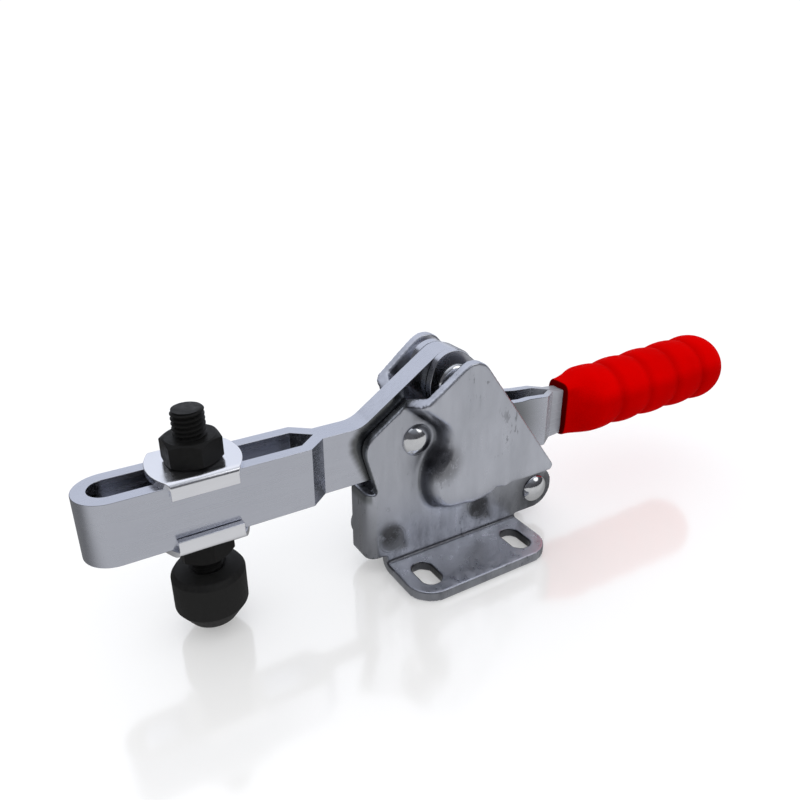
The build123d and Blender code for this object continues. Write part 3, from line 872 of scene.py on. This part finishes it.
def add_grip(steps=96):
    """The vinyl grip: a flattened mouth that grows round, shallow bulges and a domed end."""
    points, faces = [], []
    stations = [GRIP_MOUTH, GRIP_MOUTH, 45.15, 45.5]
    insets = [0.8, 0.35, 0.1, 0.0]      # of the outline at the first stations, for a rounded lip
    stations += [46.0 + 0.4 * n for n in range(161)]
    stations += [
        GRIP_DOME + (GRIP_END - GRIP_DOME) * math.sin(math.pi / 2 * n / 24) for n in range(24)]
    for k, x in enumerate(stations):
        blend = climb(x, GRIP_MOUTH, 12.0)
        blend = blend * blend * (3 - 2 * blend)
        body = grip_radius(max(x, GRIP_ROUND))
        body_z = GRIP_BODY_Z + (GRIP_END_Z - GRIP_BODY_Z) * climb(x, 60.0, 50.0)
        centre = GRIP_MOUTH_Z * (1 - blend) + body_z * blend
        inset = insets[k] if k < len(insets) else 0.0
        for n in range(steps):
            turn = 2 * math.pi * n / steps
            across, up = math.cos(turn), math.sin(turn)
            mouth = (
                abs(across / (MOUTH_HALF_WIDTH - inset)) ** MOUTH_POWER
                + abs(up / (MOUTH_HALF_HEIGHT - inset)) ** MOUTH_POWER) ** (-1 / MOUTH_POWER)
            radius = mouth * (1 - blend) + body * blend
            points.append(Vector((x, MID_Y + radius * across, centre + radius * up)) * MM)
    rows = len(stations)
    for k in range(rows - 1):
        for n in range(steps):
            m = (n + 1) % steps
            faces.append([k * steps + n, k * steps + m, (k + 1) * steps + m, (k + 1) * steps + n])
    points.append(Vector((GRIP_END, MID_Y, GRIP_END_Z)) * MM)
    points.append(Vector((GRIP_MOUTH, MID_Y, GRIP_MOUTH_Z)) * MM)
    for n in range(steps):
        m = (n + 1) % steps
        faces.append([(rows - 1) * steps + n, (rows - 1) * steps + m, len(points) - 2])
        faces.append([m, n, len(points) - 1])
    show_instead(as_mesh("grip", points, faces), "grip")


add_grip()

# ---- Stage and light, in metres ----------------------------------------------

WHITE = (1.0, 1.0, 1.0, 1.0)
FLOOR_HALF = 3.0
FLOOR_Z = -0.0002


def add_floor():
    """A pale glossy floor. In the steel's reflections it is greyer, and darker behind the clamp."""
    mesh = bpy.data.meshes.new("floor")
    corners = [
        (x * FLOOR_HALF, y * FLOOR_HALF, FLOOR_Z) for x, y in ((-1, -1), (1, -1), (1, 1), (-1, 1))]
    mesh.from_pydata(corners, [], [(0, 1, 2, 3)])
    floor = bpy.data.objects.new("floor", mesh)
    bpy.context.scene.collection.objects.link(floor)
    material, tree, shader = new_material("floor")
    shader.inputs["Base Color"].default_value = (0.80, 0.80, 0.80, 1.0)
    shader.inputs["Roughness"].default_value = 0.12
    shader.inputs["IOR"].default_value = 2.4
    shader.inputs["Emission Color"].default_value = WHITE
    shader.inputs["Emission Strength"].default_value = 0.24
    grey = tree.nodes.new("ShaderNodeEmission")
    grey.inputs["Color"].default_value = WHITE
    level = span(tree, parts_of(tree, "Object")["Y"], -0.035, 0.045, 0.62, 0.20)
    tree.links.new(level, grey.inputs["Strength"])
    other_in_mirrors(tree, shader.outputs["BSDF"], grey.outputs["Emission"], "Material Output")
    floor.data.materials.append(material)


def add_world():
    """White behind the clamp. In reflections a pale bluish sky behind it, a dark room with a
    softbox in front of it and a dark place low on the left."""
    world = bpy.data.worlds.new("studio")
    world.use_nodes = True
    bpy.context.scene.world = world
    tree = world.node_tree
    way = parts_of(tree, "Generated")
    behind = ramp(tree, way["Z"], [
        (0.0, (0.80, 0.82, 0.88)), (0.3, (0.72, 0.76, 0.86)), (1.0, (0.90, 0.92, 0.98))])
    front = ramp(tree, way["Z"], [
        (0.0, (0.05, 0.05, 0.055)), (0.35, (0.09, 0.09, 0.10)), (0.8, (0.30, 0.32, 0.36)),
        (1.0, (0.90, 0.92, 0.98))])
    softbox = span(
        tree, distance_from(tree, "Generated", (0.48, -0.61, 0.64)), 0.22, 0.34, 1.0, 0.0)
    sky = mixed(tree, front, softbox, (1.6, 1.6, 1.6))
    sky = mixed(tree, sky, span(tree, way["Y"], -0.10, 0.15, 0.0, 1.0), behind)
    low_left = maths(
        tree, "SUBTRACT", product(tree, way["X"], -0.8), maths(tree, "SUBTRACT", way["Z"], 0.5))
    low_left = product(
        tree, span(tree, low_left, 0.12, 0.36, 0.0, 1.0), span(tree, way["X"], -0.28, -0.10, 1.0, 0.0))
    sky = mixed(tree, sky, low_left, (0.10, 0.10, 0.11))
    shown = tree.nodes["Background"]
    shown.inputs["Color"].default_value = WHITE
    shown.inputs["Strength"].default_value = 1.05
    mirrored = tree.nodes.new("ShaderNodeBackground")
    tree.links.new(sky, mirrored.inputs["Color"])
    other_in_mirrors(
        tree, shown.outputs["Background"], mirrored.outputs["Background"], "World Output")


add_floor()
add_world()
bpy.context.scene.view_settings.view_transform = "Standard"
